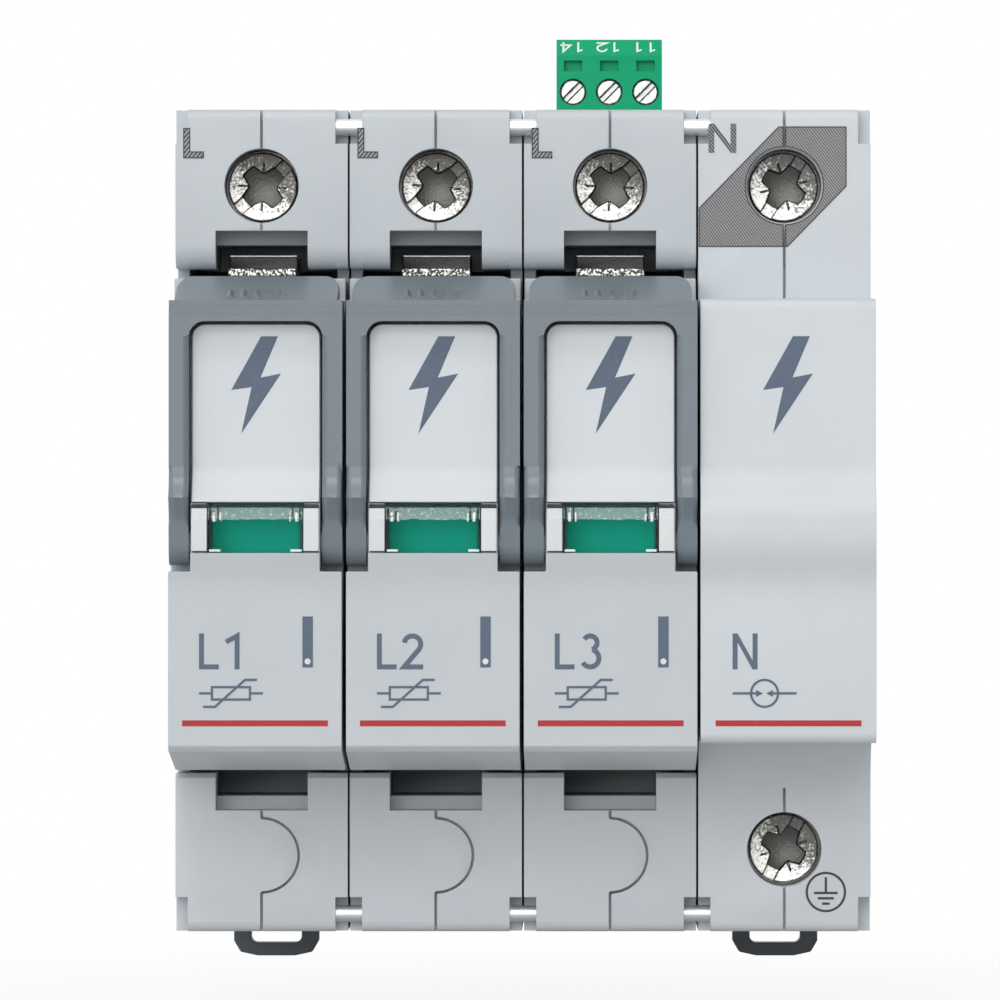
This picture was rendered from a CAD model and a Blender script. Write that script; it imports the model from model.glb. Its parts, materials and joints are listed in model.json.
import json

import bmesh
import bpy
import numpy as np
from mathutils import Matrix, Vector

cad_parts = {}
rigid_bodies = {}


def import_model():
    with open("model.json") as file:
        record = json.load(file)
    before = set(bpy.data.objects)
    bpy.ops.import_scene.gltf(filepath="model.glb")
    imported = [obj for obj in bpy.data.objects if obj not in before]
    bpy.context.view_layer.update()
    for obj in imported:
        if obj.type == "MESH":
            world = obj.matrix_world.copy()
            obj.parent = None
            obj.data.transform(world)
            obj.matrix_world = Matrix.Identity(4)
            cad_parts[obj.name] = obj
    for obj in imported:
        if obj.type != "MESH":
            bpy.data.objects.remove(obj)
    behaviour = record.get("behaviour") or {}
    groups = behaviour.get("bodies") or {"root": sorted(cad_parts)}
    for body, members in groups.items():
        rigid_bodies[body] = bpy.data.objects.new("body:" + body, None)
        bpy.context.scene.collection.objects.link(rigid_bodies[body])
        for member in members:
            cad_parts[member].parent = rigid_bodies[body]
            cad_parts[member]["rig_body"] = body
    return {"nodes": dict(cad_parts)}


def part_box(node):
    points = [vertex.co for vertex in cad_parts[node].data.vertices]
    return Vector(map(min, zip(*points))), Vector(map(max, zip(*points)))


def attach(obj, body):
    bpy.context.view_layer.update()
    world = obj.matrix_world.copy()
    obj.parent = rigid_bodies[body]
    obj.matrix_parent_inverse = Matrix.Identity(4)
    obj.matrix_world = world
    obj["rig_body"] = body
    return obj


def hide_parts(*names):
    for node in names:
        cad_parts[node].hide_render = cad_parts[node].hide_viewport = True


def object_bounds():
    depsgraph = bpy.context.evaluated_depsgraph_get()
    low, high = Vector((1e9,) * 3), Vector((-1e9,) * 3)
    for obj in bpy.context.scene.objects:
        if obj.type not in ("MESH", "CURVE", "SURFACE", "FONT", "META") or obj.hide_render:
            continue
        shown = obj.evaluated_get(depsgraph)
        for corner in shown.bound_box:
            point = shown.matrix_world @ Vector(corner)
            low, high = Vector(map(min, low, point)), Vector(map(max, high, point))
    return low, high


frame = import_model()
cad_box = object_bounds()

# Camera: a long lens almost straight in front of the row, level with its mounting axis.
# The scale and the middle are those of the mounting face and of the row's axis in the photograph.
mm = 0.001
photo_side = 1000
scale_at_mount = 9.35 / mm
camera_distance = 980 * mm
camera_aside = 6 * mm
mount_axis_px = (525.6, 520.5)

camera = bpy.data.cameras.new("camera")
camera.sensor_width = 36
camera.lens = camera.sensor_width * scale_at_mount * camera_distance / photo_side
camera.shift_x = 0.5 - (mount_axis_px[0] + camera_aside * scale_at_mount) / photo_side
camera.shift_y = mount_axis_px[1] / photo_side - 0.5
camera.clip_start = 0.1
viewer = bpy.data.objects.new("camera", camera)
viewer.location = (camera_aside, -camera_distance, 0)
viewer.rotation_euler = (np.pi / 2, 0, 0)
bpy.context.scene.collection.objects.link(viewer)
bpy.context.scene.camera = viewer
bpy.context.scene.view_settings.view_transform = "Standard"


# Floor and light: a white studio table under the row, a broad soft lamp high in front, a weaker one
# from the left, and a small one overhead that glints on rounded edges. The table is low enough for the
# pull loops to come down. The room is white behind the row and overhead, dimmer low in front.
class Wire:
    """One output socket of a node tree, so that shader maths reads as a Python expression."""

    def __init__(self, tree, socket=None):
        self.tree = tree
        self.socket = socket

    def node(self, kind, settings, sockets, out=0):
        """Add a node: its settings first, then the value or the link of each named socket."""
        made = self.tree.nodes.new(kind)
        for setting, value in settings.items():
            setattr(made, setting, value)
        for name, value in sockets.items():
            if isinstance(value, Wire):
                self.tree.links.new(value.socket, made.inputs[name])
            else:
                made.inputs[name].default_value = value
        return Wire(self.tree, made.outputs[out] if made.outputs else None)

    def place(self):
        """Object coordinates, in metres."""
        return self.node("ShaderNodeTexCoord", {}, {}, "Object")

    def axis(self, place, name):
        """The X, Y or Z of a place."""
        return self.node("ShaderNodeSeparateXYZ", {}, {"Vector": place}, name)

    def noise(self, place, scale, detail=2.0, rough=0.5):
        """Fractal noise, about 0.5 on average."""
        return self.node("ShaderNodeTexNoise", {}, {
            "Vector": place, "Scale": scale, "Detail": detail, "Roughness": rough}, "Fac")

    def mix(self, share, first, second):
        """Blend of two colours: the first where the share is 0 and the second where it is 1."""
        first, second = (c if isinstance(c, Wire) else (*c, 1) for c in (first, second))
        return self.node("ShaderNodeMix", {"data_type": "RGBA"}, {"Factor": share, 6: first, 7: second}, 2)

    def surface(self, sockets):
        """A principled surface with these sockets, joined to the material's output."""
        self.node("ShaderNodeOutputMaterial", {}, {
            "Surface": self.node("ShaderNodeBsdfPrincipled", {}, sockets)})

    def math(self, operation, first, second=0.0):
        return self.node("ShaderNodeMath", {"operation": operation}, {0: first, 1: second})

    def most(self, first, *others):
        """The highest of some values."""
        for other in others:
            first = self.math("MAXIMUM", first, other)
        return first

    def __add__(self, other):
        return self.math("ADD", self, other)

    def __sub__(self, other):
        return self.math("SUBTRACT", self, other)

    def __mul__(self, other):
        return self.math("MULTIPLY", self, other)

    def __truediv__(self, other):
        return self.math("DIVIDE", self, other)

    def __radd__(self, other):
        return self.math("ADD", other, self)

    def __rsub__(self, other):
        return self.math("SUBTRACT", other, self)

    def __rmul__(self, other):
        return self.math("MULTIPLY", other, self)

    def __gt__(self, other):
        return self.math("GREATER_THAN", self, other)

    def __lt__(self, other):
        return self.math("LESS_THAN", self, other)


def new_finish(name):
    """An empty material and the wire end from which its nodes are added."""
    material = bpy.data.materials.new(name)
    material.use_nodes = True
    material.node_tree.nodes.clear()
    return material, Wire(material.node_tree)


def new_piece(name, mesh, material):
    """An object at the origin that shows a mesh in one finish."""
    mesh.materials.clear()
    mesh.materials.append(material)
    piece = bpy.data.objects.new(name, mesh)
    bpy.context.scene.collection.objects.link(piece)
    return piece


floor_reach = 12.0
floor_clearance = 0.3 * mm
clip_travel = 4.0 * mm
floor_white = (0.72, 0.72, 0.72, 1)
floor_glow = 0.90
floor_fade = (0.05, 0.16)
floor_grain = 40.0
floor_rough, floor_rough_span = 0.8, 0.1
room_light = 0.40
room_dim = 0.30
room_level, room_rise, room_back = 0.85, 0.75, 1.2
# strength, spread, tilt and turn of each lamp, angles in degrees
lamps = {"key": (1.61, 50, 69, -10), "fill": (0.42, 70, 80, -55), "glance": (0.60, 14, 27, -12)}

table_white, tree = new_finish("table_white")
place = tree.place()
grain = tree.noise(place, floor_grain)
far = tree.node("ShaderNodeVectorMath", {"operation": "LENGTH"}, {0: place}, "Value")
fade = tree.node("ShaderNodeMapRange", {"interpolation_type": "SMOOTHSTEP"}, {
    "Value": far, "From Min": floor_fade[0], "From Max": floor_fade[1], "To Min": floor_glow, "To Max": 1.0})
seen = tree.node("ShaderNodeLightPath", {}, {}, "Is Camera Ray")
lit = tree.node("ShaderNodeBsdfPrincipled", {}, {
    "Base Color": floor_white, "Roughness": floor_rough + floor_rough_span * grain})
glow = tree.node("ShaderNodeEmission", {}, {"Color": (1, 1, 1, 1), "Strength": 1.0})
tree.node("ShaderNodeOutputMaterial", {}, {"Surface": tree.node(
    "ShaderNodeMixShader", {}, {0: fade * seen, 1: lit, 2: glow})})
floor_z = cad_box[0].z - clip_travel - floor_clearance
floor_mesh = bpy.data.meshes.new("floor")
floor_mesh.from_pydata(
    [(-floor_reach, -floor_reach, floor_z), (floor_reach, -floor_reach, floor_z),
     (floor_reach, floor_reach, floor_z), (-floor_reach, floor_reach, floor_z)], [], [(0, 1, 2, 3)])
new_piece("floor", floor_mesh, table_white)

room = bpy.data.worlds.new("room")
room.use_nodes = True
room.node_tree.nodes.clear()
bpy.context.scene.world = room
tree = Wire(room.node_tree)
seen, mirrored, through = (
    tree.node("ShaderNodeLightPath", {}, {}, f"Is {ray} Ray") for ray in ("Camera", "Glossy", "Transmission"))
shown = tree.most(seen, mirrored, through)
way = tree.node("ShaderNodeTexCoord", {}, {}, "Generated")
level = room_level + room_rise * tree.axis(way, "Z") + room_back * tree.axis(way, "Y")
wall = tree.most(tree.math("MINIMUM", tree.most(level, room_dim), 1.0), seen)
tree.node("ShaderNodeOutputWorld", {}, {"Surface": tree.node("ShaderNodeBackground", {}, {
    "Color": (1, 1, 1, 1), "Strength": wall * (room_light + (1 - room_light) * shown)})})

for lamp_name, (strength, spread, tilt, turn) in lamps.items():
    lamp = bpy.data.lights.new(lamp_name, "SUN")
    lamp.energy = strength
    lamp.angle = np.radians(spread)
    lamp_object = bpy.data.objects.new(lamp_name, lamp)
    lamp_object.rotation_euler = (np.radians(tilt), 0, np.radians(turn))
    bpy.context.scene.collection.objects.link(lamp_object)


# Phase bases: three housings of pale grey glass-filled plastic that stay when a cartridge is pulled.
# Each is moulded in one shot, so its edges are slightly eased and its faces have a fine spark texture.
base_grey = (0.555, 0.595, 0.625)
base_ease = 0.09 * mm
recess_grey = (0.05, 0.054, 0.058)
recess_depth = (43.7, 40.5)
recess_end = -29.0
recess_share = 0.62
recess_low_drop = 3.4
recess_half_w = 7.5
recess_height = (25.85, 41.0)
sink_z, sink_reach, sink_front = -4.3, 2.6, -60.0
cloud_scale, cloud_detail = 130.0, 3.0
spark_scale, spark_height, spark_strength, spark_gloss = 2600.0, 0.03 * mm, 0.25, 0.12
merge_reach = 0.002 * mm
flat_angle = np.radians(0.4)
smooth_angle = np.radians(32)
ease_steps, round_steps = 2, 4
module_x = [(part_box(f"base_{k}")[0].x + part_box(f"base_{k}")[1].x) / 2 / mm for k in (1, 2, 3, 4)]
pitch = module_x[1] - module_x[0]


def beside_middle(tree, along):
    """Distance from the middle of the nearest module, in millimetres: the remainder of the place over
    the pitch, counted from half a pitch before the first module, less that half."""
    return tree.math("ABSOLUTE", tree.math(
        "FLOORED_MODULO", along - module_x[0] + pitch / 2, pitch) - pitch / 2)


def in_recess(tree, place):
    """Share of dust and shade in the screw holes and notches of both shoulders: it grows with the depth
    below the shoulder's face, between the bay and the outer edges, and starts deeper at the lower one,
    whose sill catches the light."""
    across, inward, upward = (tree.axis(place, letter) / mm for letter in "XYZ")
    height = tree.math("ABSOLUTE", upward)
    sunk = tree.node("ShaderNodeMapRange", {}, {
        "Value": recess_low_drop * (upward < 0) - inward,
        "From Min": recess_depth[0], "From Max": recess_depth[1]})
    between = (height > recess_height[0]) * (height < recess_height[1]) * (inward < recess_end)
    return sunk * between * (beside_middle(tree, across) < recess_half_w) * recess_share


def moulded_plastic(name, colour, rough=0.42, mottle=0.05, shine=0.5, recessed=False, sink=0):
    """Moulded plastic: a cloudy tone of a few per cent, and spark texture as fine bump and gloss. A sink
    mark darkens the front by its share: a bell curve of the height, centred below the step."""
    material, tree = new_finish(name)
    place = tree.place()
    cloud = tree.noise(place, cloud_scale, cloud_detail)
    pits = tree.noise(place, spark_scale)
    tone = tree.mix(cloud, [c * (1 - mottle) for c in colour], [c * (1 + mottle) for c in colour])
    if recessed:
        tone = tree.mix(in_recess(tree, place), tone, recess_grey)
    if sink:
        inward, upward = (tree.axis(place, letter) / mm for letter in "YZ")
        off_middle = (upward - sink_z) / sink_reach
        bell = tree.math("EXPONENT", 0 - off_middle * off_middle) * (inward < sink_front)
        tone = tree.mix(bell * sink, tone, recess_grey)
    relief = tree.node("ShaderNodeBump", {}, {
        "Strength": spark_strength, "Distance": spark_height, "Height": pits})
    tree.surface({"Base Color": tone, "Roughness": rough - spark_gloss / 2 + spark_gloss * pits,
                  "Normal": relief, "Specular IOR Level": shine})
    return material


def eased(node, name, ease, material, rounded=None, radius=0, cut_z=0, clamp=True):
    """A copy of a node's solid with its edges eased, as a mould leaves them.

    The loose triangles are merged, flat neighbours are joined to single faces, and a bevel of one
    width runs along each sharp edge; gentler facets are only shaded smooth. Edges that the test called
    rounded picks get a wider bevel of their own first, and a level cut at cut_z lets that bevel end
    there. Without clamp the width holds even where edges lie close."""
    shape = bmesh.new()
    shape.from_mesh(frame["nodes"][node].data)
    bmesh.ops.remove_doubles(shape, verts=shape.verts, dist=merge_reach)
    bmesh.ops.dissolve_limit(shape, angle_limit=flat_angle, verts=shape.verts, edges=shape.edges)
    if rounded:
        bmesh.ops.bisect_plane(shape, geom=[*shape.verts, *shape.edges, *shape.faces],
                               plane_co=(0, 0, cut_z * mm), plane_no=(0, 0, 1))
        weight = shape.edges.layers.float.new("bevel_weight_edge")
        for edge in shape.edges:
            edge[weight] = rounded(edge)
    mesh = bpy.data.meshes.new(name)
    shape.to_mesh(mesh)
    shape.free()
    mesh.shade_smooth()
    mesh.set_sharp_from_angle(angle=smooth_angle)
    piece = new_piece(name, mesh, material)
    if rounded:
        arris = piece.modifiers.new("rounded", "BEVEL")
        arris.width = radius
        arris.segments = round_steps
        arris.limit_method = "WEIGHT"
        arris.use_clamp_overlap = False
        arris.harden_normals = True
    if ease:
        arris = piece.modifiers.new("eased", "BEVEL")
        arris.width = ease
        arris.segments = ease_steps
        arris.limit_method = "ANGLE"
        arris.angle_limit = smooth_angle
        arris.use_clamp_overlap = clamp
        arris.harden_normals = True
    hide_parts(node)
    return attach(piece, frame["nodes"][node]["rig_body"])


phase_plastic = moulded_plastic("phase_plastic", base_grey, recessed=True)
for phase in (1, 2, 3):
    eased(f"base_{phase}", f"housing_{phase}", base_ease, phase_plastic)


# Closed module: the neutral and earth housing, in a slightly whiter shot of the same plastic.
# Its nose is one piece with the base, and a cover closes it behind.
nose_grey = (0.61, 0.65, 0.68)
nose_sink = 0.22

closed_plastic = moulded_plastic("closed_plastic", nose_grey, recessed=True, sink=nose_sink)
eased("base_4", "closed_housing", base_ease, closed_plastic)
eased("rear_cover", "closing_cover", base_ease, closed_plastic)


# Terminal marks: letters, the earth sign and the neutral field are burnt into the shoulders by laser.
# The burn is a film of fine slanting lines, so it looks dark grey with a pale grain.
film = 0.02
film_step = 0.2
rim_films = 1.6
field_dark = (0.125, 0.122, 0.128)
field_pale = (0.40, 0.40, 0.405)
letter_dark = (0.07, 0.068, 0.072)
letter_pale = (0.46, 0.46, 0.465)
rim_dark = (0.04, 0.04, 0.042)
field_line_pitch = 0.24 * mm
letter_line_pitch = 0.32 * mm
rim_line = 0.11
burn_slant = np.radians(38)
burn_grain, line_shake, line_crisp = 1800.0, 2.0, 1.8
line_depth, line_depth_span = 0.7, 0.6
burn_rough, burn_rough_span = 0.55, 0.2
letter_w = 0.6
letter_high_z = 40.05
letter_low_z = 37.05
shoulder_face = -44.0
line_letter_x = (-7.95, -5.95)
neutral_letter_x = (-7.75, -4.9)
neutral_letter_up = 0.5
field_corners = ((-0.58, 40.2), (-8.7, 31.9), (-8.7, 28.0), (0.3, 28.0), (6.3, 34.15), (6.3, 40.2))
field_hole_r = 4.0
seam_half = 0.14
earth_centre = (4.24, -37.95)
earth_r = 1.95
earth_stem = (0.78, -0.05)
earth_bars = ((0.62, 0.05), (0.42, 0.33), (0.2, 0.61))
thin_line = 0.24


def arc(centre, radius, start, end, steps=24):
    """Points of a circle from one angle to another, in degrees, measured from +X towards +Z."""
    turn = np.radians(np.linspace(start, end, steps + 1))
    return np.stack([centre[0] + radius * np.cos(turn), centre[1] + radius * np.sin(turn)], 1)


def ribbon(path, width):
    """Outline of a line of one width: each side is the path moved by half the width along its mitre,
    which is the sum of the two neighbouring normals over one plus their dot product."""
    path = np.asarray(path, float)
    ahead = np.diff(path, axis=0)
    ahead /= np.linalg.norm(ahead, axis=1, keepdims=True)
    closed = np.allclose(path[0], path[-1])
    before = np.vstack([ahead[-1:] if closed else ahead[:1], ahead])
    after = np.vstack([ahead, ahead[:1] if closed else ahead[-1:]])
    mitre = (before + after)[:, ::-1] * (-1, 1) / (1 + np.sum(before * after, axis=1, keepdims=True))
    return np.vstack([path - mitre * width / 2, (path + mitre * width / 2)[::-1]])


def printed(name, outlines, finish, body, origin, right=(1, 0, 0), up=(0, 0, 1)):
    """Marks on a flat face: each outline becomes a closed prism one film thick, in the plane that
    right and up span through origin; its back is sunk by the same film into the face, and each
    next outline stands a little higher than the one before, so that crossing lines stay clean."""
    right, up, origin = (np.asarray(v, float) for v in (right, up, origin))
    out = np.cross(right, up) * film
    rings = [origin + np.outer(o[:, 0], right) + np.outer(o[:, 1], up) for o in map(np.asarray, outlines)]
    points = np.vstack([
        np.vstack([ring + out * (1 + film_step * k), ring - out]) for k, ring in enumerate(rings)]) * mm
    faces, first = [], 0
    for ring in rings:
        k = np.arange(len(ring))
        front, back = first + k, first + len(ring) + k
        faces += [front.tolist(), back[::-1].tolist()]
        faces += np.stack([front, back, np.roll(back, -1), np.roll(front, -1)], 1).tolist()
        first += 2 * len(ring)
    mesh = bpy.data.meshes.new(name)
    mesh.from_pydata(points, [], faces)
    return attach(new_piece(name, mesh, finish), body)


def letter_l(left, right, low, high, width):
    """Capital L as one bent line."""
    half = width / 2
    return [ribbon([(left + half, high), (left + half, low + half), (right, low + half)], width)]


def letter_n(left, right, low, high, width):
    """Capital N as two uprights and a diagonal between their corners."""
    half = width / 2
    return [ribbon([(left + half, low), (left + half, high)], width),
            ribbon([(right - half, low), (right - half, high)], width),
            np.array([(left, high), (right - width, low), (right, low), (left + width, high)])]


def burnt(name, slant, line_pitch, dark, pale):
    """Laser burn: fine lines across a slant, each a sine of the distance along it, shaken by a noise."""
    material, tree = new_finish(name)
    place = tree.place()
    across, upward = tree.axis(place, "X"), tree.axis(place, "Z")
    spots = tree.noise(place, burn_grain)
    travel = (across * np.cos(slant) + upward * np.sin(slant)) * (2 * np.pi / line_pitch)
    line = tree.math("SINE", travel + line_shake * spots) * 0.5 + 0.5
    light = tree.math("POWER", line, line_crisp) * (line_depth + line_depth_span * spots)
    tree.surface({"Base Color": tree.mix(light, dark, pale),
                  "Roughness": burn_rough + burn_rough_span * spots})
    return material


def burnt_mark(name, outlines, finish, origin):
    """A burnt mark with the darker line that the laser draws round it last."""
    printed(name, outlines, finish, "row_base", origin)
    rims = [ribbon(np.vstack([outline, outline[:1]]), rim_line) for outline in map(np.asarray, outlines)]
    printed(f"{name}_rim", rims, burn_rim, "row_base",
            np.subtract(origin, (0, rim_films * film, 0)))


field_burn = burnt("field_burn", burn_slant, field_line_pitch, field_dark, field_pale)
letter_burn = burnt("letter_burn", -burn_slant, letter_line_pitch, letter_dark, letter_pale)
neutral_burn = burnt("neutral_burn", burn_slant, field_line_pitch, rim_dark, field_pale)
burn_rim = burnt("burn_rim", burn_slant, field_line_pitch, rim_dark, letter_dark)
line_letter = letter_l(*line_letter_x, letter_low_z, letter_high_z, letter_w)
for phase in (1, 2, 3):
    burnt_mark(f"line_letter_{phase}", line_letter, letter_burn, (module_x[phase - 1], shoulder_face, 0))

screw_z = (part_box("neutral_screw")[0].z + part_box("neutral_screw")[1].z) / 2 / mm
field_left = np.vstack([
    [(-seam_half, field_corners[0][1])], field_corners[:3], [(-seam_half, field_corners[2][1])],
    arc((0, screw_z), field_hole_r, 268, 92)])
field_right = np.vstack([
    [(seam_half, field_corners[5][1])], arc((0, screw_z), field_hole_r, 88, -88),
    [(seam_half, field_corners[3][1])], field_corners[3:]])
x, z = earth_centre
earth_sign = [
    ribbon(arc(earth_centre, earth_r, 0, 360, 48), thin_line),
    ribbon([(x, z + earth_r * end) for end in earth_stem], thin_line),
    *(ribbon([(x - earth_r * half, z - earth_r * drop), (x + earth_r * half, z - earth_r * drop)], thin_line)
      for half, drop in earth_bars)]
neutral_letter = letter_n(
    *neutral_letter_x, letter_low_z + neutral_letter_up, letter_high_z + neutral_letter_up, letter_w)
shoulder_middle = (module_x[3], shoulder_face, 0)
printed("neutral_letter", neutral_letter, neutral_burn, "row_base", shoulder_middle)
burnt_mark("neutral_field", [field_left, field_right], field_burn, shoulder_middle)
printed("earth_sign", earth_sign, burn_rim, "row_base", shoulder_middle)


# Terminal screws: turned steel with worn nickel plating, a cross recess and one driver slot across it.
# Four ticks between the arms mark the recess type. Each head stops at its own angle, is rubbed bright
# on its lower side and tarnished on its upper one, and dark oil stays in the recess.
nickel_pale = (0.86, 0.85, 0.82)
nickel_dark = (0.13, 0.127, 0.12)
stops_at = {
    "line_screw_1": -3, "line_screw_2": -5, "line_screw_3": -3, "neutral_screw": 13, "earth_screw": 17}
bright_way = (-0.50, -0.86)
bright_fall = 0.62
side_tarnish, floor_tarnish, wall_tarnish = 0.6, 1.7, 1.5
deep_gain, deep_start, steep_gain = 4, 2.2, 3
rub_scale, rub_detail, rub_rough, rub_share = 1500.0, 6.0, 0.75, 1.7
hammer_scale, hammer_detail, hammer_share = 4600.0, 3.0, 2.0
hammer_height, hammer_strength, rub_height = 0.06 * mm, 0.8, 0.5
dull_from, dull_to = 0.02, 0.80
nickel_rough, nickel_rough_span = 0.28, 0.25
probe = 0.05
screw_rings = 84
screw_turns = 288
head_h = 2.8
rim_ease = 0.16
tip_ease = 0.4
dish = 0.10
cross_half = 0.72
cross_reach = 2.3
cross_deep = 1.75
cross_rise = 0.45
core_r = 1.45
fillet_size, fillet_reach, fillet_share = 0.55, 0.5, 0.35
slot_half = 0.66
slot_deep = 0.85
tick_half = 0.09
tick_taper = 0.05
tick_reach = (1.5, 2.45)
tick_deep = 0.22
wall_slope = 0.10
shank_r = 2.4
weld_reach = 0.0005 * mm
crease_angle = np.radians(50)


def soft_step(inside):
    """0 outside an edge and 1 inside it, with a smooth ramp as wide as the wall's slope."""
    share = np.clip(inside / wall_slope + 0.5, 0, 1)
    return share * share * (3 - 2 * share)


def screw_recess(x, z):
    """Depth below the head's face: the deepest of a slot along one diagonal, a cross on both diagonals
    whose floor rises towards its tips, a round core and four short ticks on the axes."""
    along, aside = (x + z) / np.sqrt(2), (x - z) / np.sqrt(2)
    reach = np.hypot(x, z)
    slot = slot_deep * soft_step(slot_half - np.abs(aside))
    floor = cross_deep - cross_rise * np.clip(reach / cross_reach, 0, 1) ** 2
    fillet = fillet_size * np.exp(-((reach - core_r) / fillet_reach) ** 2)
    arm_half = cross_half + fillet * fillet_share
    arms = np.maximum(arm_half - np.abs(aside), arm_half - np.abs(along))
    cross = floor * soft_step(np.minimum(np.maximum(arms, core_r - reach), cross_reach - reach))
    near_axis = np.minimum(np.abs(x), np.abs(z)) + tick_taper * (reach - tick_reach[0])
    ticks = tick_deep * soft_step(np.minimum(
        tick_half - near_axis, np.minimum(reach - tick_reach[0], tick_reach[1] - reach)))
    return np.maximum.reduce([slot, cross, ticks])


def tarnish_of(x, z, recess_x, recess_z, head_r):
    """Share of tarnish: it falls from 1 to 0 across the face along the bright way, and the recess's
    floor and its steep walls are dark wherever they lie."""
    deep = np.clip(screw_recess(recess_x, recess_z) / cross_deep * deep_gain - deep_start, 0, 1)
    steep = sum(
        np.abs(screw_recess(recess_x + dx, recess_z + dz) - screw_recess(recess_x - dx, recess_z - dz))
        for dx, dz in ((probe, 0), (0, probe)))
    face = 0.5 - bright_fall * (x * bright_way[0] + z * bright_way[1]) / head_r
    return np.maximum.reduce([
        np.clip(face, 0, 1), floor_tarnish * deep, wall_tarnish * np.clip(steep * steep_gain, 0, 1)])


def terminal_screw(node, name, stop):
    """A screw as a grid of rings: the profile runs from the shank's tip along the side to the rim, and
    the face is a height field over the polar grid, dished a little and cut by the recess."""
    low, high = (np.array(corner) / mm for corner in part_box(node))
    head_r = (high[0] - low[0]) / 2
    centre_x, centre_z = (low[0] + high[0]) / 2, (low[2] + high[2]) / 2
    face_y, tip_y = low[1], high[1]
    seat_y = face_y + head_h
    side = np.array([
        (0, tip_y), (shank_r - tip_ease, tip_y), (shank_r, tip_y - tip_ease), (shank_r, seat_y),
        (head_r - rim_ease, seat_y), (head_r, seat_y - rim_ease), (head_r, face_y + 2 * rim_ease),
        (head_r - 0.3 * rim_ease, face_y + 0.8 * rim_ease)])
    face_r = np.linspace(head_r - rim_ease, 0, screw_rings)
    ring_r = np.concatenate([side[:, 0], face_r])[:, None]
    turn = np.linspace(0, 2 * np.pi, screw_turns, endpoint=False)[None, :]
    stopped = turn - np.radians(stop)
    x, z = ring_r * np.cos(turn), ring_r * np.sin(turn)
    recess_x, recess_z = ring_r * np.cos(stopped), ring_r * np.sin(stopped)
    face = face_y + dish * (1 - (ring_r / head_r) ** 2) + screw_recess(recess_x, recess_z)
    on_face = np.arange(len(ring_r))[:, None] >= len(side)
    y = np.where(on_face, face, np.concatenate([side[:, 1], face_r])[:, None])
    points = np.stack([centre_x + x, y, centre_z + z], 2).reshape(-1, 3) * mm
    rows = np.arange(len(ring_r) - 1)[:, None] * screw_turns
    k = np.arange(screw_turns)[None, :]
    after = (k + 1) % screw_turns
    quads = np.stack([rows + k, rows + after, rows + screw_turns + after, rows + screw_turns + k], 2)
    mesh = bpy.data.meshes.new(name)
    mesh.from_pydata(points, [], quads.reshape(-1, 4).tolist())
    tarnish = np.where(on_face, tarnish_of(x, z, recess_x, recess_z, head_r), side_tarnish).ravel()
    mesh.attributes.new("tarnish", "FLOAT", "POINT").data.foreach_set("value", tarnish.astype(np.float32))
    shape = bmesh.new()
    shape.from_mesh(mesh)
    bmesh.ops.remove_doubles(shape, verts=shape.verts, dist=weld_reach)
    bmesh.ops.recalc_face_normals(shape, faces=shape.faces)
    shape.to_mesh(mesh)
    shape.free()
    mesh.shade_smooth()
    mesh.set_sharp_from_angle(angle=crease_angle)
    piece = new_piece(name, mesh, worn_nickel)
    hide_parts(node)
    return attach(piece, frame["nodes"][node]["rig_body"])


worn_nickel, tree = new_finish("worn_nickel")
place = tree.place()
tarnish = tree.node("ShaderNodeAttribute", {"attribute_name": "tarnish"}, {}, "Fac")
rub = tree.noise(place, rub_scale, rub_detail, rub_rough)
hammer = tree.noise(place, hammer_scale, hammer_detail)
dull = tree.node("ShaderNodeMapRange", {"interpolation_type": "SMOOTHSTEP"}, {
    "Value": tarnish + rub_share * (rub - 0.5) + hammer_share * (hammer - 0.5),
    "From Min": dull_from, "From Max": dull_to})
relief = tree.node("ShaderNodeBump", {}, {
    "Strength": hammer_strength, "Distance": hammer_height, "Height": hammer + rub_height * rub})
tree.surface({"Base Color": tree.mix(dull, nickel_pale, nickel_dark), "Metallic": 1.0,
              "Roughness": nickel_rough + nickel_rough_span * rub, "Normal": relief})
for node, stop in stops_at.items():
    terminal_screw(node, f"{node}_head", stop)


# Metal work: tinned cages and jaws, brass blades, copper bars and bright steel link pins. The line strip
# is stamped from tinned sheet: its faces are tarnished, and its cut edges are torn and bright.
wear_scale, wear_detail, wear_rough = 700.0, 5.0, 0.65
wear_gloss, wear_gloss_span = 0.1, 0.25
scratch_scale, scratch_height, scratch_strength = 5200.0, 0.02 * mm, 0.3
strip_face = (0.045, 0.047, 0.046)
strip_bright = (0.95, 0.93, 0.86)
lip_z, leaf_z, leaf_top_z = 24.5, 25.86, 27.14
torn_scale, torn_detail, torn_height, torn_strength = 3600.0, 3.0, 0.06 * mm, 0.7
torn_from, torn_to = 0.46, 0.62
leaf_top_bright, below_lip_bright = 0.8, 0.55
torn_rough, torn_rough_span = 0.3, 0.2
metal_ease = 0.12 * mm


def plated_metal(name, colour, rough=0.3, wear=0.25):
    """Plated metal: rubbed tone and gloss follow a broken noise, with fine drawn scratches as bump."""
    material, tree = new_finish(name)
    place = tree.place()
    rub = tree.noise(place, wear_scale, wear_detail, wear_rough)
    fine = tree.noise(place, scratch_scale)
    relief = tree.node("ShaderNodeBump", {}, {
        "Strength": scratch_strength, "Distance": scratch_height, "Height": fine})
    tree.surface({"Base Color": tree.mix(rub, [c * (1 - wear) for c in colour], colour), "Metallic": 1.0,
                  "Roughness": rough - wear_gloss + wear_gloss_span * rub, "Normal": relief})
    return material


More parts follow.
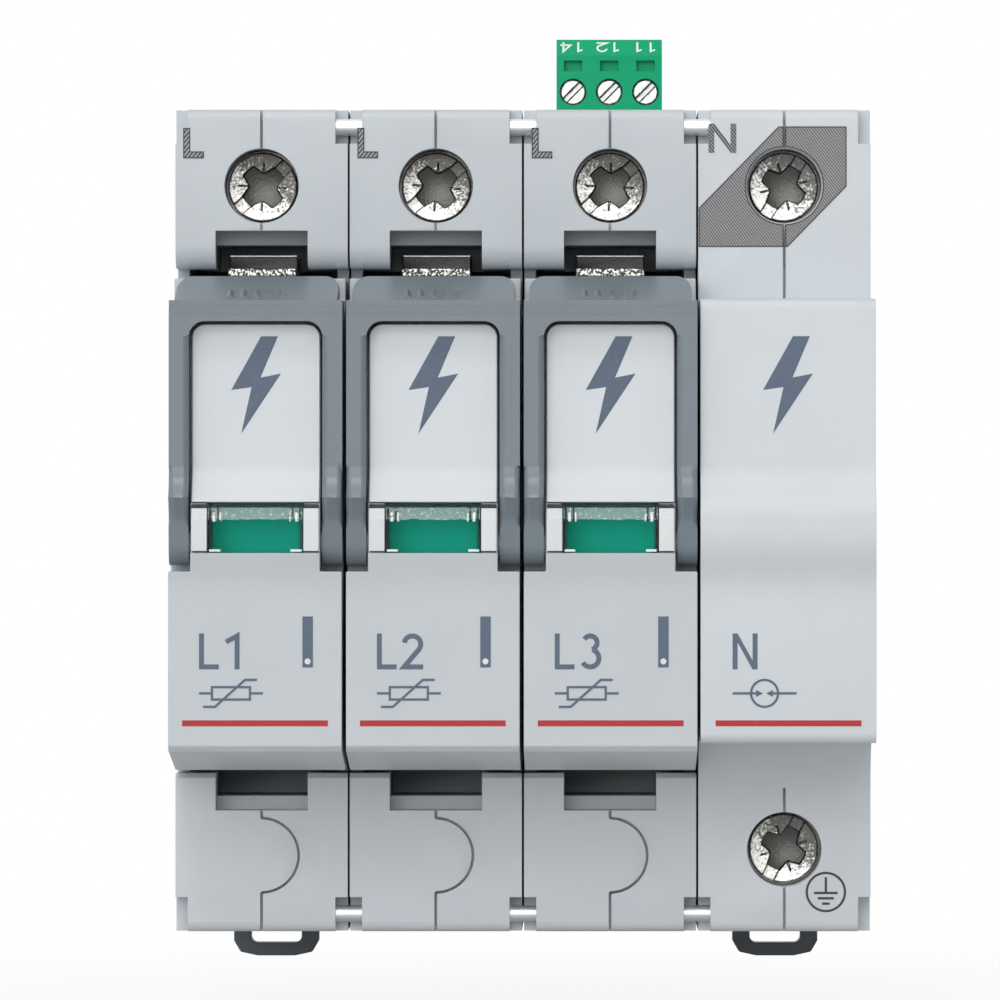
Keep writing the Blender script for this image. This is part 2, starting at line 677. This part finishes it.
stamped_tin, tree = new_finish("stamped_tin")
place = tree.place()
height = tree.axis(place, "Z") / mm
torn = tree.noise(place, torn_scale, torn_detail)
lip = (height > lip_z) * (height < leaf_z) * tree.node("ShaderNodeMapRange", {}, {
    "Value": torn, "From Min": torn_from, "From Max": torn_to})
edge = lip + leaf_top_bright * (height > leaf_top_z) + below_lip_bright * (height < lip_z)
edge = tree.math("MINIMUM", edge, 1.0)
relief = tree.node("ShaderNodeBump", {}, {
    "Strength": torn_strength, "Distance": torn_height, "Height": torn})
tree.surface({"Base Color": tree.mix(edge, strip_face, strip_bright), "Metallic": 1.0,
              "Roughness": torn_rough + torn_rough_span * torn, "Normal": relief})
tinned = plated_metal("tinned", (0.60, 0.59, 0.56), rough=0.32)
steel = plated_metal("steel", (0.87, 0.86, 0.86), rough=0.38, wear=0.14)
brass = plated_metal("brass", (0.70, 0.52, 0.24))
copper = plated_metal("copper", (0.72, 0.40, 0.26))
for node, metal, slot in (
        *((f"line_cage_{phase}", tinned, "cage_steel") for phase in (1, 2, 3)),
        *((f"contacts_{phase}", stamped_tin, "contact_brass") for phase in (1, 2, 3)),
        *((f"blades_{phase}", brass, "contact_brass") for phase in (1, 2, 3)),
        ("neutral_cage", tinned, "cage_steel"), ("earth_cage", tinned, "cage_steel"),
        ("link_pins", steel, "pin_steel"), ("common_bar", copper, "copper"),
        ("gas_tube_straps", copper, "copper")):
    eased(node, f"{node}_metal", metal_ease, metal)


# Varistors and gas tube: the bodies that take the surge, hidden inside the housings.
# The varistors are sintered blocks dipped in a blue coat, and the tube is glazed ceramic.
coat_ease = 0.3 * mm

varistor_coat = moulded_plastic("varistor_coat", (0.03, 0.10, 0.25), rough=0.3)
tube_ceramic = moulded_plastic("tube_ceramic", (0.75, 0.72, 0.66), rough=0.3)
for node, coat, slot in (
        *((f"varistor_{phase}", varistor_coat, "varistor") for phase in (1, 2, 3)),
        ("gas_tube", tube_ceramic, "ceramic")):
    eased(node, f"{node}_body", coat_ease, coat)


# Cartridge cases: shells of pale grey plastic that plug into the bases, with the stepped front.
# Each is moulded in one shot, shows a sink mark below its step, and is closed behind by a plate.
case_grey = (0.54, 0.575, 0.605)
case_ease = 0.13 * mm
case_sink = 0.14

case_plastic = moulded_plastic("case_plastic", case_grey, sink=case_sink)
for phase in (1, 2, 3):
    case = eased(f"cartridge_case_{phase}", f"case_{phase}", case_ease, case_plastic, clamp=False)
    eased(f"cartridge_back_{phase}", f"case_back_{phase}", 0, case_plastic)


# Label plates: smooth near-white inserts behind the handle's frame.
# Each is a thin moulding, set on the front of the case and bent over the case's step.
label_white = (0.665, 0.70, 0.73)
label_ease = 0.1 * mm

label_plastic = moulded_plastic("label_plastic", label_white, rough=0.5, mottle=0.02)
for phase in (1, 2, 3):
    eased(f"label_plate_{phase}", f"label_{phase}", label_ease, label_plastic)


# Panel print: pad-printed pole marks, circuit symbols, a slate key bar and a red stripe.
# The same film carries a lightning bolt on each label plate and on the closed module's nose.
lift_scale, lift_detail, lift_crisp = 2400.0, 4.0, 3.0
thin_gain, thin_lift = 1.4, 0.02
ink_rough, ink_rough_span = 0.4, 0.2
panel_face = -63.0
upper_face = -60.5
label_face = -59.9
ink_slate = (0.085, 0.118, 0.175)
ink_red = (0.43, 0.012, 0.016)
pole_low_z, pole_high_z = -14.9, -11.3
pole_left = -5.6
pole_w = 0.5
pole_gap = 0.5
pole_shape = 0.55
neutral_pole_w = 2.5
symbol_z = -17.3
wire_x = (-5.6, 0.8)
varistor_box = ((-4.3, -0.62), (-0.5, 0.62))
varistor_line = ((-5.2, -1.35), (-4.0, -1.35), (-1.0, 1.35), (0.2, 1.35))
varistor_wire_x = (-4.42, -0.38)
gap_x, gap_r = -2.4, 1.35
gap_wire_x = (-3.1, -1.7)
gap_arrows = (((-2.55, 0), (-3.25, 0.35), (-3.25, -0.35)), ((-2.25, 0), (-1.55, -0.35), (-1.55, 0.35)))
key_bar = ((4.75, -14.7), (5.8, -9.6))
key_dot, key_dot_r, key_dot_films = (5.27, -14.1), 0.3, 1.5
stripe = ((-7.3, -20.6), (7.3, -20.0))
bolt_centre = (0.0, 13.6)
bolt_shape = ((0.5, 4.9), (-2.5, -0.5), (-0.45, -0.2), (-1.5, -4.9), (2.5, 1.15), (0.45, 0.75), (2.2, 4.9))


def ink(name, colour):
    """Print ink: a nearly even tone, broken a little where the pad lifted, and a dull sheen."""
    material, tree = new_finish(name)
    lift = tree.noise(tree.place(), lift_scale, lift_detail)
    thin = [c * thin_gain + thin_lift for c in colour]
    tree.surface({"Base Color": tree.mix(tree.math("POWER", lift, lift_crisp), colour, thin),
                  "Roughness": ink_rough + ink_rough_span * lift})
    return material


def digit(value, left, low, high, width, shape=0.6):
    """A digit 1 to 4 as one line, or two for a 3, set in a box whose width is a share of its height."""
    tall = high - low
    wide = shape * tall
    half = width / 2
    radius = wide / 2 - half
    mid_x = left + wide / 2
    if value == 1:
        return [ribbon([(mid_x - 0.24 * tall, high - 0.24 * tall), (mid_x + half, high - half),
                        (mid_x + half, low)], width)]
    if value == 2:
        bow = arc((mid_x, high - half - radius), radius, 170, -40, 16)
        return [ribbon(np.vstack([bow, [(left + half, low + half), (left + wide, low + half)]]), width)]
    if value == 3:
        lower = (tall - 2 * half) * 0.28
        upper = (tall - 2 * half) / 2 - lower
        top = arc((mid_x, high - half - upper), upper, 150, -55, 14)
        foot = arc((mid_x, low + half + lower), lower, 60, -150, 14)
        waist = [(mid_x + 0.1 * wide, low + half + 2 * lower)]
        return [ribbon(np.vstack([top, waist]), width), ribbon(np.vstack([waist, foot]), width)]
    return [ribbon([(left + 0.72 * wide, low), (left + 0.72 * wide, high - half),
                    (left + half, low + 0.28 * tall), (left + wide, low + 0.28 * tall)], width)]


def box_line(low, high, width):
    """Outline of a rectangle drawn with one line."""
    return ribbon([low, (high[0], low[1]), high, (low[0], high[1]), low], width)


def filled(low, high):
    """A filled rectangle."""
    return np.array([low, (high[0], low[1]), high, (low[0], high[1])])


def wires(left, right):
    """Both connecting lines of a symbol, from its ends to the places left and right."""
    return [ribbon([(wire_x[0], symbol_z), (left, symbol_z)], thin_line),
            ribbon([(right, symbol_z), (wire_x[1], symbol_z)], thin_line)]


slate_ink = ink("slate_ink", ink_slate)
red_ink = ink("red_ink", ink_red)
pale_ink = ink("pale_ink", label_white)
at_symbol = (0, symbol_z)
varistor_sign = [
    box_line(*np.add(varistor_box, at_symbol), thin_line), *wires(*varistor_wire_x),
    ribbon(np.add(varistor_line, at_symbol), thin_line)]
gap_sign = [
    ribbon(arc((gap_x, symbol_z), gap_r, 0, 360, 40), thin_line), *wires(*gap_wire_x),
    *np.add(gap_arrows, at_symbol)]
bolt = [np.array(bolt_shape) + bolt_centre]
pole_wide = pole_shape * (pole_high_z - pole_low_z)
for phase in (1, 2, 3):
    body = f"cartridge_{phase}"
    origin = (module_x[phase - 1], panel_face, 0)
    pole = letter_l(pole_left, pole_left + pole_wide, pole_low_z, pole_high_z, pole_w)
    pole += digit(phase, pole_left + pole_wide + pole_gap, pole_low_z, pole_high_z, pole_w)
    printed(f"pole_mark_{phase}", pole + varistor_sign + [filled(*key_bar)], slate_ink, body,
            origin)
    printed(f"stripe_{phase}", [filled(*stripe)], red_ink, body, origin)
    printed(f"key_dot_{phase}", [arc(key_dot, key_dot_r, 0, 345, 23)], pale_ink, body,
            (origin[0], panel_face - key_dot_films * film, 0))
    printed(f"bolt_sign_{phase}", bolt, slate_ink, body, (origin[0], label_face, 0))
origin = (module_x[3], panel_face, 0)
pole = letter_n(pole_left, pole_left + neutral_pole_w, pole_low_z, pole_high_z, pole_w)
printed("pole_mark_neutral", pole + gap_sign, slate_ink, "row_base", origin)
printed("stripe_neutral", [filled(*stripe)], red_ink, "row_base", origin)
printed("bolt_sign_neutral", bolt, slate_ink, "row_base", (origin[0], upper_face, 0))


# Handles: swing frames of mid grey plastic, glossier than the cases, moulded with a ridged grip.
# Each snaps with two eyes over the stub pivots of its case. The front edges of its legs are well rounded.
handle_grey = (0.175, 0.215, 0.242)
handle_ease = 0.2 * mm
leg_round = 0.55 * mm
leg_front = -59.5
leg_span = (-0.2, 19.0)
cut_play = 0.01
sharp_radians = 1


def leg_edge(edge):
    """1 for the sharp edges that run up and down the front of both legs, and 0 for all others."""
    ends = np.array([corner.co for corner in edge.verts]) / mm
    run = np.abs(ends[1] - ends[0])
    upright = ends[:, 1].max() < leg_front and run[0] < 0.1 * run.max()
    inside = ends[:, 2].min() > leg_span[0] - cut_play and ends[:, 2].max() < leg_span[1]
    return float(upright and inside and edge.calc_face_angle(0) > sharp_radians)


handle_plastic = moulded_plastic("handle_plastic", handle_grey, rough=0.32, mottle=0.06)
for phase in (1, 2, 3):
    handle = eased(f"handle_{phase}", f"swing_handle_{phase}", handle_ease, handle_plastic,
                   rounded=leg_edge, radius=leg_round, cut_z=leg_span[0])
    handle.modifiers.new("flat_faces", "WEIGHTED_NORMAL").keep_sharp = True


# Windows and flags: a clear moulded bar over a two-colour slide, green in use and red when spent.
# The bar is polished, with white frosted ends and a hazy facet along its top, and is set in the case.
flag_green = (0.001, 0.40, 0.27)
flag_red = (0.45, 0.02, 0.02)
flag_ease = 0.1 * mm
lens_ease = 0.15 * mm
facet_h = 1.55
flag_half = 4.6
pad_inner = 4.78
bar_line = 0.07
second_line = 0.36
foot_h, foot_x = 0.26, 3.55
glint_x = ((3.5, 0.07), (4.12, 0.13))
shade_x = ((3.72, 0.09), (4.5, 0.12))
glint_span = (0.85, 1.75)
haze_tint = (0.76, 0.93, 0.91)
pad_tint = (0.95, 0.97, 0.98)
shade_tint = (0.03, 0.045, 0.045)
speck_scale, speck_detail, ripple_scale, ripple_reach = 3400.0, 3.0, 700.0, 0.5
glint_specks, spot_specks = 0.42, 0.64
foot_white, pad_white = 0.85, 0.62
haze_low, haze_span, haze_spot = 0.10, 0.3, 0.3
upright_shade, top_shade, edge_shade = 0.4, 0.5, 0.62
foot_line = 1.5 * bar_line
least_alpha = 0.002
lens_rough, lens_rough_span = 0.05, 0.08
lens_ior, lens_shine = 1.49, 0.1


def near(value, middle, half):
    """1 where a value lies within half of the middle, and 0 elsewhere."""
    return value.math("ABSOLUTE", value - middle) < half


clear_window, tree = new_finish("clear_window")
place = tree.place()
height = tree.axis(place, "Z") / mm
aside = beside_middle(tree, tree.axis(place, "X") / mm)
specks = tree.noise(place, speck_scale, speck_detail)
ripple = tree.noise(place, ripple_scale)
lens_low, lens_high = (corner.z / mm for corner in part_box("lens_1"))
below_top = lens_high - height
over_flag = aside < flag_half
facet = below_top < facet_h + ripple_reach * (ripple - 0.5)
facet = facet * (below_top > second_line) * (aside < pad_inner)
glint = tree.most(near(aside, *glint_x[0]), near(aside, *glint_x[1]))
glint = glint * near(below_top, sum(glint_span) / 2, (glint_span[1] - glint_span[0]) / 2)
glint = glint * (specks > glint_specks)
feet = (height < lens_low + foot_h) * (aside > foot_x) * over_flag
white = tree.most(tree.most(feet, glint) * foot_white, (aside > pad_inner) * pad_white)
haze = facet * (haze_low + haze_span * specks + haze_spot * (specks > spot_specks))
shade = near(aside, *shade_x[0]) * (below_top < glint_span[1]) + near(aside, *shade_x[1])
shade = tree.most(shade * upright_shade, (below_top < second_line) * top_shade) * (1 - feet)
edge = tree.most(below_top < bar_line, near(below_top, second_line, bar_line),
                 height < lens_low + foot_line, near(aside, pad_inner, bar_line))
dark = tree.most(shade, edge * (aside > pad_inner - bar_line) * edge_shade)
pale = tree.mix(white > haze, haze_tint, pad_tint)
tree.surface({"Base Color": tree.mix((dark > haze) * (1 - feet), pale, shade_tint),
              "Roughness": lens_rough + lens_rough_span * specks, "IOR": lens_ior,
              "Specular IOR Level": lens_shine, "Alpha": tree.most(haze, white, dark + least_alpha)})
green_plastic = moulded_plastic("green_plastic", flag_green, rough=0.5, shine=0.1)
red_plastic = moulded_plastic("red_plastic", flag_red, rough=0.5, shine=0.1)
for phase in (1, 2, 3):
    eased(f"lens_{phase}", f"window_{phase}", lens_ease, clear_window)
    eased(f"flag_green_{phase}", f"flag_in_use_{phase}", flag_ease, green_plastic)
    eased(f"flag_red_{phase}", f"flag_spent_{phase}", flag_ease, red_plastic)


# Mounting clips: sliding feet of dark grey plastic with a pull loop below the housing.
# Each is moulded in one piece, and slides down at the back of a housing to let the row go.
clip_grey = (0.115, 0.131, 0.142)
clip_ease = 0.2 * mm

clip_plastic = moulded_plastic("clip_plastic", clip_grey, rough=0.45)
for clip in (1, 2):
    eased(f"rail_clip_{clip}", f"clip_{clip}", clip_ease, clip_plastic)


# Signal plug: green three-way pluggable terminal in a header of the same plastic, with contact numbers
# printed in white on its sloping edge, to be read from above. Its small slotted screws are plated, and
# dirt stays round their rims and along their slots.
plug_green = (0.004, 0.38, 0.17)
plug_ease = 0.12 * mm
plug_screw_ease = 0.08 * mm
number_white = (0.85, 0.86, 0.86)
number_h = 1.5
number_w = 0.2
number_shape = 0.8
tens_left, ones_left = -1.25, 0.15
slope_half = 0.85
way_pitch = 3.81
plug_rim = 0.16
plug_lip, plug_lip_half = 0.3, 0.09
plug_bright = (0.74, 0.74, 0.73)
plug_dirt = (0.02, 0.03, 0.025)
plug_rub, plug_rub_detail, plug_rub_power = 2600.0, 4.0, 2.0
rim_dirt, rub_dirt = 0.85, 0.5
plug_rough, plug_rough_span = 0.3, 0.2
way_numbers = ((1, 1), (1, 2), (1, 4))

plug_plastic = moulded_plastic("plug_plastic", plug_green, rough=0.45, shine=0.15)
eased("signal_plug", "plug", plug_ease, plug_plastic)
eased("signal_header", "plug_header", plug_ease, plug_plastic)
plug_nickel, tree = new_finish("plug_nickel")
place = tree.place()
screw_low, screw_high = (np.array(corner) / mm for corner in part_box("signal_plug_screws"))
height = tree.axis(place, "Z") / mm - (screw_low[2] + screw_high[2]) / 2
along = tree.axis(place, "X") / mm - module_x[2]
along = tree.math("FLOORED_MODULO", along + way_pitch / 2, way_pitch) - way_pitch / 2
reach = tree.math("SQRT", along * along + height * height)
off_slot = tree.math("ABSOLUTE", along - height) / np.sqrt(2)
rub = tree.noise(place, plug_rub, plug_rub_detail)
rim = reach > (screw_high[2] - screw_low[2]) / 2 - plug_rim
lips = near(off_slot, plug_lip, plug_lip_half)
dirt = rim_dirt * tree.most(rim, lips) + rub_dirt * tree.math("POWER", rub, plug_rub_power)
dirt = tree.math("MINIMUM", dirt, 1.0)
tree.surface({"Base Color": tree.mix(dirt, plug_bright, plug_dirt), "Metallic": 1.0,
              "Roughness": plug_rough + plug_rough_span * rub})
eased("signal_plug_screws", "plug_screws", plug_screw_ease, plug_nickel)
white_ink = ink("white_ink", number_white)
plug_low, plug_high = (np.array(corner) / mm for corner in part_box("signal_plug"))
slope_up = np.array((0, 1, 1)) / np.sqrt(2)
slope_right = np.array((1, 0, 0))
slope_mid = np.array((module_x[2], plug_low[1] + slope_half, plug_high[2] - slope_half))
for way, (tens, ones) in enumerate(way_numbers):
    marks = digit(tens, tens_left, -number_h / 2, number_h / 2, number_w, number_shape)
    marks += digit(ones, ones_left, -number_h / 2, number_h / 2, number_w, number_shape)
    printed(f"way_number_{way + 1}", marks, white_ink, "plug",
            slope_mid + slope_right * way_pitch * (1 - way), -slope_right, -slope_up)
